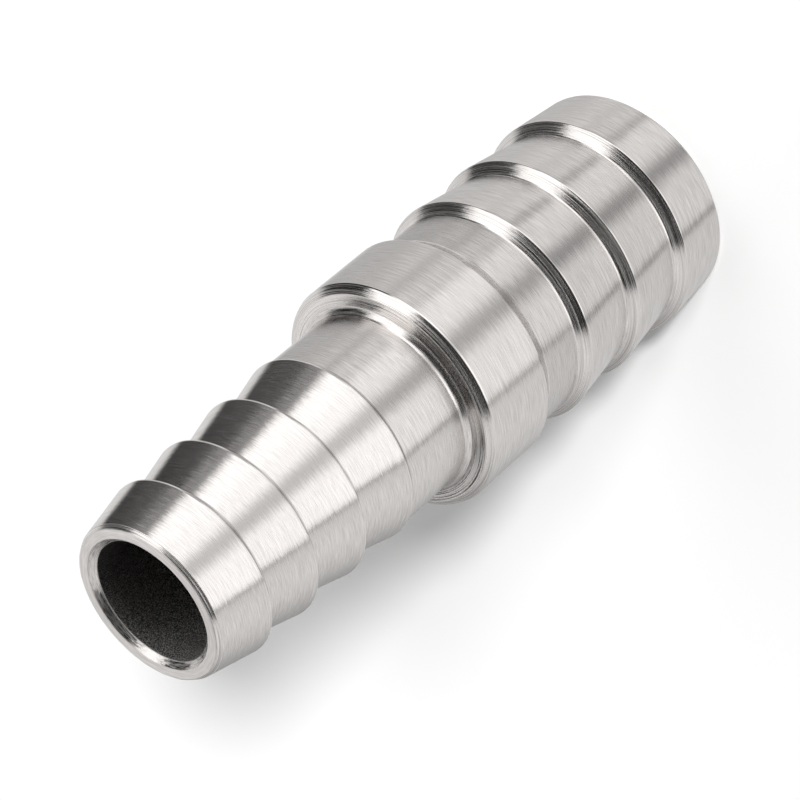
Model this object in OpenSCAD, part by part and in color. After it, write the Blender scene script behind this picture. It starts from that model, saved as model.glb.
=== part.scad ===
// Hose barb reducer, turned in one piece from round bar.
// A small and a large hose tail meet at a plain collar, around a bore that steps down inside it.
// Lengths are in millimetres. The axis is Z, and the large tail's end face stands on Z = 0.

/* [Small hose tail] */
// Length from the end face to the front of the collar
small_tail_length = 38; // [34:0.1:60]
// Number of barbs
small_barbs = 4; // [2:1:4]
// Distance from the end face to the first crest
small_first_crest = 6.35; // [5:0.05:8]
// Distance from the first crest to the second
small_first_pitch = 6.9; // [6:0.05:7.6]
// Distance between the other crests
small_pitch = 7.33; // [6:0.01:8]
// Diameter over the first crest
small_crest_d = 20.84; // [20.4:0.02:22]
// How much wider each crest is than the one before it
small_crest_growth = 0.4; // [0:0.05:0.6]
// Slope of the ramps behind the first one, against the axis
small_ramp_angle = 14; // [10:0.5:16]
// Slope of the back of each barb, against the axis
small_back_angle = 60; // [45:1:66]
// Diameter at the start of the first ramp
small_tip_d = 18.4; // [17:0.1:19.6]
// How far the plain neck lies below the last crest
small_neck_drop = 0.3; // [0.25:0.01:0.6]

/* [Large hose tail] */
// Length from the end face to the back of the collar
large_tail_length = 31.7; // [30:0.1:60]
// Number of barbs
large_barbs = 3; // [1:1:3]
// Distance from the end face to the first crest
large_first_crest = 7.41; // [5:0.01:9]
// Distance between the crests
large_pitch = 8.83; // [7:0.01:9.5]
// Diameter over the crests
large_crest_d = 27.1; // [26.4:0.1:30]
// Slope of the ramps behind the first one, against the axis
large_ramp_angle = 8; // [5:0.5:12]
// Slope of the back of each barb, against the axis
large_back_angle = 45; // [35:1:60]
// Diameter at the start of the first ramp
large_tip_d = 25.94; // [25:0.02:26.4]
// How far the plain neck lies below the crests
large_neck_drop = 1.05; // [0.6:0.05:1.5]

/* [Barbs] */
// Width of the narrow land on each crest
crest_land = 0.18; // [0.1:0.01:0.4]
// Radius left by the tool at the foot of each barb
foot_fillet = 0.5; // [0.2:0.05:0.6]

/* [Collar] */
// Width along the axis, from the large tail's neck to the face
collar_width = 11.2; // [8:0.1:20]
// Height above the neck of the large tail
collar_rise = 1.08; // [0.9:0.01:3]
// Length of the slope down to the large tail's neck
collar_back_length = 1.5; // [0.8:0.1:3]
// Radius at the foot of that slope
collar_back_fillet = 0.8; // [0.2:0.1:1.5]
// Length of the front chamfer, along the axis
collar_front_length = 0.72; // [0.3:0.01:1.5]
// Depth of the front chamfer, across the axis
collar_front_depth = 0.85; // [0.3:0.01:1.2]
// How far the front face slopes back from square, in degrees
collar_front_slope = 8; // [0:1:12]
// Radius between the small tail's neck and the collar's face
shoulder_fillet = 0.85; // [0.2:0.05:1]

/* [Bore] */
// Diameter of the bore through the small tail
small_bore_d = 14.2; // [10:0.1:15]
// Diameter of the bore in the large tail
large_bore_d = 20; // [16:0.1:21]
// How far the large bore runs on under the collar
large_bore_overrun = 3.3; // [1:0.1:6]
// Point angle of the drill that left the step between the bores
drill_point_angle = 118; // [90:1:150]

/* [Ends] */
// Chamfer at the mouth of the small bore
small_mouth_chamfer = 0.65; // [0.2:0.05:0.8]
// Chamfer at the mouth of the large bore
large_mouth_chamfer = 0.5; // [0.2:0.05:0.8]
// Length of the chamfer round the small end, along the axis
small_end_length = 0.52; // [0.2:0.01:1]
// Depth of the chamfer round the small end, across the axis
small_end_depth = 0.32; // [0.1:0.01:0.6]
// Length and depth of the chamfer round the large end
large_end_chamfer = 0.57; // [0.2:0.01:1]

/* [Hidden] */
facets = 90;
fillet_facets = 24;
cut_margin = 1;
weld = 0.2;
nose_bite = 0.001;

total_length = small_tail_length + collar_width + large_tail_length;

// Each crest is [radius, distance from its tail's end face].
small_crests = [
    for (k = [0 : small_barbs - 1])
        [
            small_crest_d / 2 + k * small_crest_growth / 2,
            small_first_crest + (k > 0 ? small_first_pitch + (k - 1) * small_pitch : 0)
        ]
];
large_crests = [
    for (k = [0 : large_barbs - 1])
        [large_crest_d / 2, large_first_crest + k * large_pitch]
];
small_neck_r = small_crests[small_barbs - 1][0] - small_neck_drop;
large_neck_r = large_crest_d / 2 - large_neck_drop;
collar_r = large_neck_r + collar_rise;
collar_front_r = collar_r - collar_front_depth;
collar_front_rise = (collar_front_r - small_neck_r) * tan(collar_front_slope);
collar_middle = collar_width / 2;
large_bore_depth = large_tail_length + large_bore_overrun;
bore_step_length = (large_bore_d - small_bore_d) / 2 / tan(drill_point_angle / 2);

function heading(angle) = [cos(angle), sin(angle)];

// Where the back of one barb meets the ramp of the next
function ramp_foot(crest, next_crest, ramp_angle, back_angle) =
    let (
        land_end = crest[1] + crest_land,
        back = tan(back_angle),
        ramp = tan(ramp_angle),
        z = (crest[0] - next_crest[0] + ramp * next_crest[1] + back * land_end) / (back + ramp)
    )
    [crest[0] - back * (z - land_end), z];

// Where the back of the last barb meets the neck
function neck_foot(crest, neck_r, back_angle) =
    [neck_r, crest[1] + crest_land + (crest[0] - neck_r) / tan(back_angle)];

// Fills the corner between two walls, which leave it at the angles given, up to a round of this radius.
// The round bites a hair into both walls, so that it crosses them cleanly instead of just touching.
module corner_fillet(corner, wall_a, wall_b, radius) {
    half_angle = (wall_b - wall_a) / 2;
    outward = heading((wall_a + wall_b) / 2);
    reach = radius / tan(half_angle);
    difference() {
        polygon([
            corner - weld * outward,
            corner + reach * heading(wall_a),
            corner + reach * heading(wall_b)
        ]);
        translate(corner + (radius / sin(half_angle) - nose_bite) * outward)
            circle(r = radius, $fn = fillet_facets);
    }
}

// Half section of a hose tail, with its end face at zero and its neck running on to a depth
module tail_section(crests, ramp_angle, back_angle, neck_r, tip_r, end_length, end_depth, depth) {
    last = len(crests) - 1;
    feet = [
        for (k = [0 : last])
            k < last
                ? ramp_foot(crests[k], crests[k + 1], ramp_angle, back_angle)
                : neck_foot(crests[k], neck_r, back_angle)
    ];
    polygon(concat(
        [[0, 0], [tip_r - end_depth, 0], [tip_r, end_length]],
        [for (k = [0 : last], point = [crests[k], crests[k] + [0, crest_land], feet[k]]) point],
        [[neck_r, depth], [0, depth]]
    ));
    for (k = [0 : last])
        corner_fillet(feet[k], back_angle - 90, k < last ? 90 - ramp_angle : 90, foot_fillet);
}

module large_tail_section() {
    tail_section(
        large_crests, large_ramp_angle, large_back_angle, large_neck_r, large_tip_d / 2,
        large_end_chamfer, large_end_chamfer, large_tail_length + collar_middle
    );
    corner_fillet(
        [large_neck_r, large_tail_length], -90, atan2(collar_back_length, collar_rise), collar_back_fillet
    );
}

module small_tail_section() {
    tail_section(
        small_crests, small_ramp_angle, small_back_angle, small_neck_r, small_tip_d / 2,
        small_end_length, small_end_depth, small_tail_length + collar_middle
    );
    corner_fillet(
        [small_neck_r, small_tail_length - collar_front_rise], -90, collar_front_slope, shoulder_fillet
    );
}

module collar_section() {
    polygon([
        [0, 0],
        [large_neck_r, 0],
        [collar_r, collar_back_length],
        [collar_r, collar_width - collar_front_length],
        [collar_front_r, collar_width],
        [small_neck_r, collar_width + collar_front_rise],
        [0, collar_width + collar_front_rise]
    ]);
}

// The bore is open at both ends, with a chamfer at each mouth.
module bore_section() {
    large_r = large_bore_d / 2;
    small_r = small_bore_d / 2;
    polygon([
        [0, -cut_margin],
        [large_r + large_mouth_chamfer + cut_margin, -cut_margin],
        [large_r, large_mouth_chamfer],
        [large_r, large_bore_depth],
        [small_r, large_bore_depth + bore_step_length],
        [small_r, total_length - small_mouth_chamfer],
        [small_r + small_mouth_chamfer + cut_margin, total_length + cut_margin],
        [0, total_length + cut_margin]
    ]);
}

module reducer_body() {
    color("silver")
        rotate_extrude($fn = facets)
            difference() {
                union() {
                    large_tail_section();
                    translate([0, large_tail_length])
                        collar_section();
                    translate([0, total_length])
                        mirror([0, 1])
                            small_tail_section();
                }
                bore_section();
            }
}

reducer_body();
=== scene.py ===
"""Dresses the hose barb reducer: one turned body on its large end, in soft studio light."""
import math

import bpy
from mathutils import Matrix, Vector


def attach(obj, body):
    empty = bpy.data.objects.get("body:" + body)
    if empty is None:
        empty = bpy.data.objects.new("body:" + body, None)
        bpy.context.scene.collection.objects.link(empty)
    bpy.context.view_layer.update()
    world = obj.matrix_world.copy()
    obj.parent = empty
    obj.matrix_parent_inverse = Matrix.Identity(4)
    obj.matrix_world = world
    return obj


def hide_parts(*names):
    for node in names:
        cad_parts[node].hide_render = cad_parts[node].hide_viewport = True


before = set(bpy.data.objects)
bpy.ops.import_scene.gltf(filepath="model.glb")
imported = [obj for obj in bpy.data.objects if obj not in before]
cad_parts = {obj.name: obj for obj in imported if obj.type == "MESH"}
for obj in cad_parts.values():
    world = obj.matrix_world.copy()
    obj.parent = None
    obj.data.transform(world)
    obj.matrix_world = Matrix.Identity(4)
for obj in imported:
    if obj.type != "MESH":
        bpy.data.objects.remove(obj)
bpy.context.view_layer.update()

MM = 0.001

# Sizes of the part in millimetres. Tails are measured from their own end face.
SMALL_TAIL_LENGTH = 38.0
SMALL_BARBS = 4
SMALL_FIRST_CREST = 6.35
SMALL_FIRST_PITCH = 6.9
SMALL_PITCH = 7.33
SMALL_CREST_R = 10.42
SMALL_CREST_GROWTH = 0.2
SMALL_RAMP_ANGLE = 14.0
SMALL_BACK_ANGLE = 60.0
SMALL_TIP_R = 9.2
SMALL_NECK_DROP = 0.3

LARGE_TAIL_LENGTH = 31.7
LARGE_BARBS = 3
LARGE_FIRST_CREST = 7.41
LARGE_PITCH = 8.83
LARGE_CREST_R = 13.55
LARGE_RAMP_ANGLE = 8.0
LARGE_BACK_ANGLE = 45.0
LARGE_TIP_R = 12.97
LARGE_NECK_DROP = 1.05

CREST_LAND = 0.18
FOOT_FILLET = 0.5

COLLAR_WIDTH = 11.2
COLLAR_RISE = 1.08
COLLAR_BACK_LENGTH = 1.5
COLLAR_BACK_FILLET = 0.8
COLLAR_FRONT_LENGTH = 0.72
COLLAR_FRONT_DEPTH = 0.85
COLLAR_FRONT_SLOPE = 8.0
SHOULDER_FILLET = 0.85

SMALL_BORE_R = 7.1
LARGE_BORE_R = 10.0
LARGE_BORE_DEPTH = 35.0
DRILL_HALF_ANGLE = 59.0
SMALL_MOUTH_CHAMFER = 0.65
LARGE_MOUTH_CHAMFER = 0.5
SMALL_END_LENGTH = 0.52
SMALL_END_DEPTH = 0.32
LARGE_END_CHAMFER = 0.57

TOTAL_LENGTH = SMALL_TAIL_LENGTH + COLLAR_WIDTH + LARGE_TAIL_LENGTH

# Edges broken by the tool, in millimetres
CREST_BREAK = 0.05
LARGE_CREST_BREAK = 0.2
EDGE_BREAK = 0.18
RIM_BREAK = 0.5
COLLAR_BACK_BREAK = 0.4

# Mesh of the body
ROUND_STEPS = 384
ARC_STEP = math.radians(11)

# The camera of the photo, in millimetres and degrees
CAMERA_PLACE = (-0.87, -290.6, 250.8)
CAMERA_TILT = 35.73
CAMERA_ROLL = -130.67
FOCAL_PIXELS = 3434
PICTURE_PIXELS = 800
SENSOR_MM = 36


# The section of the body

def ramp_foot(crest, next_crest, ramp_angle, back_angle):
    """Where the back of one barb meets the ramp of the next, as radius and distance from the end."""
    ramp = math.tan(math.radians(ramp_angle))
    back = math.tan(math.radians(back_angle))
    land_end = crest[1] + CREST_LAND
    z = (crest[0] - next_crest[0] + ramp * next_crest[1] + back * land_end) / (back + ramp)
    return crest[0] - back * (z - land_end), z


def neck_foot(crest, neck_r, back_angle):
    drop = (crest[0] - neck_r) / math.tan(math.radians(back_angle))
    return neck_r, crest[1] + CREST_LAND + drop


def tail_corners(
    crests, ramp_angle, back_angle, neck_r, tip_r, end_length, end_depth, crest_break, neck
):
    """Corners of a tail, from its end face to its neck.

    Each corner is a radius, a distance from the end face, a rounding and the surface after it.
    """
    corners = [
        (tip_r - end_depth, 0, EDGE_BREAK, "chamfer"),
        (tip_r, end_length, EDGE_BREAK, "ramp"),
    ]
    for k, crest in enumerate(crests):
        last = k == len(crests) - 1
        if last:
            foot = neck_foot(crest, neck_r, back_angle)
        else:
            foot = ramp_foot(crest, crests[k + 1], ramp_angle, back_angle)
        corners.append((crest[0], crest[1], CREST_BREAK, "land"))
        corners.append((crest[0], crest[1] + CREST_LAND, crest_break, "back"))
        corners.append((*foot, FOOT_FILLET, neck if last else "ramp"))
    return corners


def section():
    """Closed outline of the half section: radius, height, rounding, and surface after each corner."""
    small_crests = [
        (
            SMALL_CREST_R + k * SMALL_CREST_GROWTH,
            SMALL_FIRST_CREST + (SMALL_FIRST_PITCH + (k - 1) * SMALL_PITCH if k else 0),
        )
        for k in range(SMALL_BARBS)
    ]
    large_crests = [(LARGE_CREST_R, LARGE_FIRST_CREST + k * LARGE_PITCH) for k in range(LARGE_BARBS)]
    small_neck_r = small_crests[-1][0] - SMALL_NECK_DROP
    large_neck_r = LARGE_CREST_R - LARGE_NECK_DROP
    collar_r = large_neck_r + COLLAR_RISE
    collar_face = LARGE_TAIL_LENGTH + COLLAR_WIDTH
    front_r = collar_r - COLLAR_FRONT_DEPTH
    front_rise = (front_r - small_neck_r) * math.tan(math.radians(COLLAR_FRONT_SLOPE))
    step_length = (LARGE_BORE_R - SMALL_BORE_R) / math.tan(math.radians(DRILL_HALF_ANGLE))

    outline = [(LARGE_BORE_R + LARGE_MOUTH_CHAMFER, 0, EDGE_BREAK, "end_face")]
    outline += tail_corners(
        large_crests, LARGE_RAMP_ANGLE, LARGE_BACK_ANGLE, large_neck_r, LARGE_TIP_R,
        LARGE_END_CHAMFER, LARGE_END_CHAMFER, LARGE_CREST_BREAK, "large_neck",
    )
    outline += [
        (large_neck_r, LARGE_TAIL_LENGTH, COLLAR_BACK_FILLET, "collar_back"),
        (collar_r, LARGE_TAIL_LENGTH + COLLAR_BACK_LENGTH, COLLAR_BACK_BREAK, "collar"),
        (collar_r, collar_face - COLLAR_FRONT_LENGTH, RIM_BREAK, "chamfer"),
        (front_r, collar_face, EDGE_BREAK, "face"),
        (small_neck_r, collar_face + front_rise, SHOULDER_FILLET, "neck"),
    ]
    small = tail_corners(
        small_crests, SMALL_RAMP_ANGLE, SMALL_BACK_ANGLE, small_neck_r, SMALL_TIP_R,
        SMALL_END_LENGTH, SMALL_END_DEPTH, CREST_BREAK, "neck",
    )
    surfaces = ["end_face"] + [corner[3] for corner in small[:-1]]
    for (r, d, rounding, _), surface in reversed(list(zip(small, surfaces))):
        outline.append((r, TOTAL_LENGTH - d, rounding, surface))
    outline += [
        (SMALL_BORE_R + SMALL_MOUTH_CHAMFER, TOTAL_LENGTH, EDGE_BREAK, "mouth"),
        (SMALL_BORE_R, TOTAL_LENGTH - SMALL_MOUTH_CHAMFER, EDGE_BREAK, "bore"),
        (SMALL_BORE_R, LARGE_BORE_DEPTH + step_length, EDGE_BREAK, "bore"),
        (LARGE_BORE_R, LARGE_BORE_DEPTH, EDGE_BREAK, "bore"),
        (LARGE_BORE_R, LARGE_MOUTH_CHAMFER, EDGE_BREAK, "mouth"),
    ]
    return outline


def bend_surface(radius, z, turn):
    """The surface of a rounded corner: a fillet inside, a land or a worn edge outside."""
    if turn < 0:
        return "foot" if radius == FOOT_FILLET and z > LARGE_TAIL_LENGTH + COLLAR_WIDTH else "fillet"
    return "edge" if radius == EDGE_BREAK else "land"


def rounded(outline):
    """Points of the outline with its corners rounded: place, normal, and the surface that follows."""
    points = []
    count = len(outline)
    for k, (r, z, radius, surface) in enumerate(outline):
        here = Vector((r, z))
        before = Vector(outline[k - 1][:2])
        after = Vector(outline[(k + 1) % count][:2])
        u = (before - here).normalized()
        v = (after - here).normalized()
        half = math.acos(max(-1, min(1, u.dot(v)))) / 2
        reach = radius / math.tan(half)
        centre = here + (u + v).normalized() * (radius / math.sin(half))
        start = here + u * reach
        arc = math.pi - 2 * half
        turn = 1 if (-u).cross(v) > 0 else -1
        steps = max(2, math.ceil(arc / ARC_STEP))
        bend = bend_surface(radius, z, turn)
        for s in range(steps + 1):
            spoke = start - centre
            spoke.rotate(Matrix.Rotation(turn * arc * s / steps, 2))
            normal = spoke.normalized() * turn
            if s == steps:
                follows = surface
            elif s == 0 and radius == SHOULDER_FILLET:
                follows = "edge"
            else:
                follows = bend
            points.append((centre + spoke, normal, follows))
    return points


def lathe(name, points, finishes):
    """Turns the points round Z into a mesh with exact normals and one material slot per finish."""
    names = list(finishes)
    verts = []
    normals = []
    for place, normal, _ in points:
        for k in range(ROUND_STEPS):
            a = 2 * math.pi * k / ROUND_STEPS
            c, s = math.cos(a), math.sin(a)
            verts.append((place.x * MM * c, place.x * MM * s, place.y * MM))
            normals.append((normal.x * c, normal.x * s, normal.y))
    faces = []
    slots = []
    count = len(points)
    for i, (_, _, surface) in enumerate(points):
        j = (i + 1) % count
        for k in range(ROUND_STEPS):
            m = (k + 1) % ROUND_STEPS
            corners = ((i, k), (i, m), (j, m), (j, k))
            faces.append(tuple(ring * ROUND_STEPS + step for ring, step in corners))
            slots.append(names.index(surface))
    mesh = bpy.data.meshes.new(name)
    mesh.from_pydata(verts, [], faces)
    for surface in names:
        mesh.materials.append(finishes[surface])
    mesh.polygons.foreach_set("material_index", slots)
    mesh.polygons.foreach_set("use_smooth", [True] * len(faces))
    mesh.normals_split_custom_set_from_vertices(normals)
    piece = bpy.data.objects.new(name, mesh)
    bpy.context.scene.collection.objects.link(piece)
    return piece


# Node trees

# Noise hardly leaves this part of its range.
NOISE_LOW = 0.3
NOISE_HIGH = 0.7


class Graph:
    """Adds nodes to a tree and gives back one output of each, by its name or number.

    An input is given as a number, a colour or another node's output.
    """

    def __init__(self, tree):
        self.tree = tree
        tree.nodes.clear()

    def node(self, kind, inputs=None, output=0, **settings):
        made = self.tree.nodes.new("ShaderNode" + kind)
        for key, value in settings.items():
            setattr(made, key, value)
        for key, value in (inputs or {}).items():
            if isinstance(value, bpy.types.NodeSocket):
                self.tree.links.new(value, made.inputs[key])
            else:
                made.inputs[key].default_value = value
        if made.outputs:
            return made.outputs[output]

    def math(self, operation, *values):
        return self.node("Math", dict(enumerate(values)), operation=operation)

    def vector(self, operation, *values, output=0):
        return self.node("VectorMath", dict(enumerate(values)), output=output, operation=operation)

    def parts(self, vector):
        split = self.node("SeparateXYZ", {0: vector}).node
        return split.outputs[0], split.outputs[1], split.outputs[2]

    def step(self, value, edge, softness):
        """Rises smoothly from 0 to 1 as the value passes the edge."""
        return self.node(
            "MapRange",
            {"Value": value, "From Min": edge - softness, "From Max": edge + softness},
            interpolation_type="SMOOTHSTEP",
        )

    def band(self, value, low, high, softness):
        rise = self.step(value, low, softness)
        fall = self.step(value, high, softness)
        return self.math("SUBTRACT", rise, fall)

    def blend(self, amount, first, second):
        """Mixes two numbers."""
        return self.node("Mix", {0: amount, 2: first, 3: second}, data_type="FLOAT")

    def spread(self, noise, low, high):
        """Spreads noise over the range from low to high."""
        return self.node(
            "MapRange",
            {
                "Value": noise,
                "From Min": NOISE_LOW,
                "From Max": NOISE_HIGH,
                "To Min": low,
                "To Max": high,
            },
        )

    def degrees(self, y, x):
        return self.math("DEGREES", self.math("ARCTAN2", y, x))


# Finishes, with painted shade in the large neck, the feet of the small barbs and the bore

STEEL = (0.718, 0.69, 0.672)

# Length of the streaks that break up the edges of reflections, in radians
STREAK_LENGTH = 0.1

# Pitch of the finish's hairs, as a share of the pitch of its grooves
HAIR_SHARE = 0.75

# The profile is measured along Z and back across the radius, so that rings show on faces too.
PROFILE_LEAN = 0.6

# Grains per metre in the rough skin of the bore
BORE_GRAIN = 8000


def steel(
    name, roughness, grain, wobble=0.12, groove=0.006, pitch=0.11, length=0.2,
    contrast=0.15, spread=0.05, tint=1.0,
):
    """Steel turned on a lathe, with fine rings that smear reflections along the profile.

    The wobble leans the surface to and fro round the part, which breaks up the edges of
    reflections. Grooves have a depth and a pitch in millimetres and a length in radians.
    Contrast and spread say how much the hairs change the colour and the roughness.
    """
    material = bpy.data.materials.new(name)
    material.use_nodes = True
    g = Graph(material.node_tree)
    place = g.node("TexCoord", output="Object")
    x, y, z = g.parts(place)
    flat = g.node("CombineXYZ", {0: x, 1: y})
    radius = g.vector("LENGTH", flat, output="Value")
    outward = g.vector("NORMALIZE", flat)
    profile = g.math("SUBTRACT", z, g.math("MULTIPLY", radius, PROFILE_LEAN))

    def rings(length, width, detail):
        """Noise in thin rings, with a length in radians and a width in millimetres."""
        around = g.vector("SCALE", outward)
        around.node.inputs["Scale"].default_value = 1 / length
        along = g.node("CombineXYZ", {2: g.math("DIVIDE", profile, width * MM)})
        spot = g.vector("ADD", around, along)
        return g.node("TexNoise", {"Vector": spot, "Scale": 1, "Detail": detail, "Roughness": 0.8})

    tangent = g.vector("NORMALIZE", g.vector("CROSS_PRODUCT", (0, 0, 1), outward))
    streak = g.math("SUBTRACT", rings(STREAK_LENGTH, pitch, 3), 0.5)
    normal = g.node("NewGeometry", output="Normal")
    shift = g.vector("SCALE", tangent)
    g.tree.links.new(g.math("MULTIPLY", streak, wobble), shift.node.inputs["Scale"])
    leaning = g.vector("NORMALIZE", g.vector("ADD", normal, shift))
    bump = g.node(
        "Bump",
        {
            "Strength": 1,
            "Distance": groove * MM,
            "Height": rings(2 * length, pitch, 2),
            "Normal": leaning,
        },
    )
    hair = rings(length, pitch * HAIR_SHARE, 1)
    tone = g.spread(hair, tint - contrast, tint + contrast)
    colour = g.vector("SCALE", STEEL)
    g.tree.links.new(tone, colour.node.inputs["Scale"])
    rough = g.spread(hair, roughness * (1 - spread), roughness * (1 + spread))
    shader = g.node(
        "BsdfPrincipled",
        {
            "Base Color": colour,
            "Metallic": 1,
            "Roughness": rough,
            "Anisotropic": grain,
            "Anisotropic Rotation": 0.25,
            "Normal": bump,
            "Tangent": g.node("Tangent", direction_type="RADIAL", axis="Z"),
        },
    )
    g.node("OutputMaterial", {"Surface": shader})
    return material


def bore_steel_with_painted_shade(name):
    """Rough steel that the drill left: fine dark grain, with painted shade that darkens the bore
    towards +X.
    """
    material = bpy.data.materials.new(name)
    material.use_nodes = True
    g = Graph(material.node_tree)
    place = g.node("TexCoord", output="Object")
    grain = g.node("TexNoise", {"Vector": place, "Scale": BORE_GRAIN, "Detail": 2, "Roughness": 0.7})
    bump = g.node("Bump", {"Strength": 0.5, "Distance": 0.05 * MM, "Height": grain})
    speckle = g.node(
        "MapRange",
        {"Value": grain, "From Min": 0.42, "From Max": 0.64, "To Min": 0.25, "To Max": 1.6},
    )
    # Painted shade: the colour falls from full at x = -6 mm to a quarter at x = 5 mm, darker towards
    # +X.
    x = g.parts(place)[0]
    across = g.node(
        "MapRange",
        {"Value": x, "From Min": -6 * MM, "From Max": 5 * MM, "To Min": 1.0, "To Max": 0.25},
    )
    tone = g.math("MULTIPLY", speckle, across)
    colour = g.vector("SCALE", STEEL)
    g.tree.links.new(tone, colour.node.inputs["Scale"])
    rough = g.spread(grain, 0.4, 0.6)
    shader = g.node(
        "BsdfPrincipled",
        {"Base Color": colour, "Metallic": 1, "Roughness": rough, "Normal": bump},
    )
    g.node("OutputMaterial", {"Surface": shader})
    return material


turned = steel("turned_steel", 0.25, 0.9)
# The large neck is a little rougher, and its tint of 0.88 is painted shade that dims its reflection.
dull_neck_and_shade = steel("dull_steel_with_painted_shade", 0.28, 0.85, tint=0.88)
faced = steel(
    "faced_steel", 0.25, 0.9, groove=0.03, pitch=0.16, length=1.2, contrast=0.4, spread=0.75
)
hollow = steel("hollow_steel", 0.22, 0.7, groove=0.01, length=0.2, contrast=0.3, spread=0.4)
# The feet of the small barbs take a tint of 0.75: painted shade in the creases behind the crests.
shaded = steel("shaded_steel", 0.25, 0.5, groove=0, length=0.3, contrast=0.2, tint=0.75)
nicked = steel(
    "nicked_steel", 0.3, 0.5, wobble=0.4, groove=0.02, pitch=0.05, contrast=0.3, spread=0.5
)
polished = steel("polished_steel", 0.15, 0.5, groove=0)
worn = steel("worn_steel", 0.5, 0.3, groove=0, tint=1.2)
matte = steel("matte_steel", 0.45, 0.3, groove=0.02, pitch=0.16, length=0.3, tint=1.2)
bore_grain_and_shade = bore_steel_with_painted_shade("bore_steel_with_painted_shade")
finishes = {
    "ramp": turned,
    "land": polished,
    "neck": turned,
    "large_neck": dull_neck_and_shade,
    "collar": turned,
    "collar_back": turned,
    "back": faced,
    "chamfer": faced,
    "face": faced,
    "edge": worn,
    "fillet": hollow,
    "foot": shaded,
    "mouth": nicked,
    "end_face": matte,
    "bore": bore_grain_and_shade,
}
body = lathe("turned_body", rounded(section()), finishes)
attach(body, "root")
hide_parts("reducer_body")


# The studio

VIEW = Vector((0, -math.cos(math.radians(CAMERA_TILT)), math.sin(math.radians(CAMERA_TILT))))

TENT = 0.85
# Cards in the tent. Each has a brightness, and says which surfaces mirror it to the camera:
# from and to in turn round the part, softness, from and to in tilt, softness, all in degrees.
CARDS = {
    "left_shade": (0.75, -200, -48, 8, -22, 6, 3),
    "right_shade": (0.4, 72, 200, 24, -95, 95, 3),
    "under_shade": (0.75, 5, 74, 4, -22, -4, 3),
    "face_shade_left": (0.25, -62, -28, 6, 66, 84, 3),
    "face_shade": (0.05, 37, 200, 5, 66, 84, 3),
    "under_dark": (0.04, -95, 95, 3, -95, -22, 4),
    "dark_wall": (0.01, -78, -33.8, 4, 7, 30, 3),
    "dark_wall_middle": (0.14, -77, -36, 4, 30, 38, 3),
    "dark_wall_top": (0.01, -77, -37, 4, 38, 66, 3),
    "under_white": (0.45, -38, -24, 3, -5, 6, 3),
    "low_white_left": (1.65, -33.8, -5, 4.5, 6, 25, 3),
    "low_white_right": (1.6, 6.5, 31, 4.5, 6, 25, 3),
    "rim_white_left": (1.15, -21, -7, 5, -2.5, 6, 2),
    "rim_white_right": (1.12, 8, 30, 4, -2.5, 6, 2),
    "front_seam": (0.3, -3, 5.5, 4, -22, 1, 2),
    "low_seam": (0.4, -25.5, -21, 2, -22, -1, 2),
    "high_white": (1.6, -46, -21.2, 2.5, 25, 80, 4),
    "high_dark": (0.05, -19.5, 37, 3, 25, 80, 4),
    "line": (0.02, 31, 33.5, 1, 26, 80, 2),
    "low_line": (0.5, 31, 33.5, 1, -2, 25, 2),
    "under_line": (0.3, 30.5, 33.5, 1, -22, -2, 2),
    "pole": (1.35, -200, 200, 3, 84, 95, 3),
}


def studio():
    world = bpy.data.worlds.new("studio")
    bpy.context.scene.world = world
    world.use_nodes = True
    g = Graph(world.node_tree)
    middle = g.vector("ADD", g.node("TexCoord", output="Generated"), tuple(VIEW))
    x, y, z = g.parts(middle)
    turn = g.degrees(g.math("MULTIPLY", x, -1), g.math("MULTIPLY", y, -1))
    flat = g.vector("LENGTH", g.node("CombineXYZ", {0: x, 1: y}), output="Value")
    tilt = g.degrees(z, flat)
    light = TENT
    for brightness, left, right, turn_soft, low, high, tilt_soft in CARDS.values():
        mask = g.math(
            "MULTIPLY", g.band(turn, left, right, turn_soft), g.band(tilt, low, high, tilt_soft)
        )
        light = g.blend(mask, light, brightness)
    seen = g.blend(g.node("LightPath", output="Is Camera Ray"), light, 1.0)
    g.node("OutputWorld", {"Surface": g.node("Background", {"Color": seen})})


FLOOR_SIDE = 4.0
FLOOR_COLOUR = (0.77, 0.77, 0.77, 1)


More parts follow.
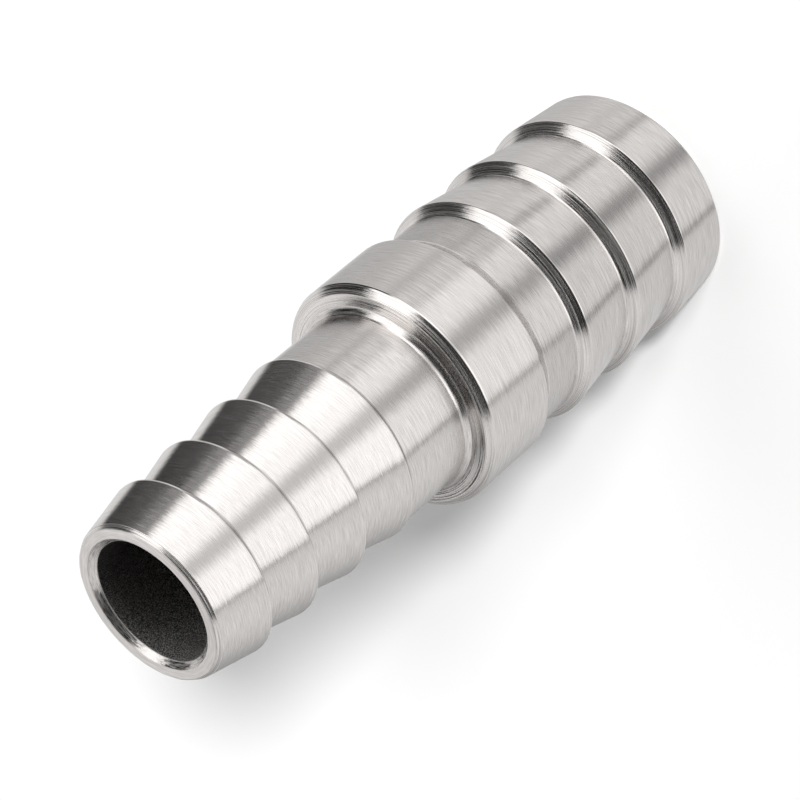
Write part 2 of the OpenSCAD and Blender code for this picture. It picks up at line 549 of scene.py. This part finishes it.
def floor():
    half = FLOOR_SIDE / 2
    mesh = bpy.data.meshes.new("floor")
    corners = [(-half, -half, 0), (half, -half, 0), (half, half, 0), (-half, half, 0)]
    mesh.from_pydata(corners, [], [(0, 1, 2, 3)])
    piece = bpy.data.objects.new("floor", mesh)
    bpy.context.scene.collection.objects.link(piece)
    material = bpy.data.materials.new("pale_floor")
    material.use_nodes = True
    g = Graph(material.node_tree)
    path = g.node("LightPath").node.outputs
    surface = g.node("BsdfDiffuse", {"Color": FLOOR_COLOUR})
    through = g.math("MAXIMUM", path["Is Glossy Ray"], path["Is Shadow Ray"])
    shader = g.node("MixShader", {0: through, 1: surface, 2: g.node("BsdfTransparent")})
    g.node("OutputMaterial", {"Surface": shader})
    mesh.materials.append(material)


# Lamps that only throw the shadow: turn round the part, height, strength and spread
LAMPS = {
    "key": (5.2, 30.5, 4.0, 6),
    "side": (14, 40, 1.0, 10),
}


def lamps():
    for name, (turn, height, strength, spread) in LAMPS.items():
        lamp = bpy.data.lights.new(name, "SUN")
        lamp.energy = strength
        lamp.angle = math.radians(spread)
        piece = bpy.data.objects.new(name, lamp)
        towards = Vector((0, -1, 0))
        towards.rotate(Matrix.Rotation(math.radians(-height), 3, "X"))
        towards.rotate(Matrix.Rotation(math.radians(turn), 3, "Z"))
        piece.rotation_mode = "QUATERNION"
        piece.rotation_quaternion = towards.to_track_quat("Z", "Y")
        piece.visible_glossy = False
        bpy.context.scene.collection.objects.link(piece)


def camera():
    data = bpy.data.cameras.new("camera")
    data.sensor_width = SENSOR_MM
    data.lens = FOCAL_PIXELS / PICTURE_PIXELS * SENSOR_MM
    data.clip_start = 0.01
    data.clip_end = 10
    piece = bpy.data.objects.new("camera", data)
    tip = Matrix.Rotation(math.radians(90 - CAMERA_TILT), 4, "X")
    roll = Matrix.Rotation(math.radians(CAMERA_ROLL), 4, "Z")
    piece.matrix_world = Matrix.Translation(Vector(CAMERA_PLACE) * MM) @ tip @ roll
    bpy.context.scene.collection.objects.link(piece)
    bpy.context.scene.camera = piece


studio()
floor()
lamps()
camera()
bpy.context.scene.view_settings.view_transform = "Standard"
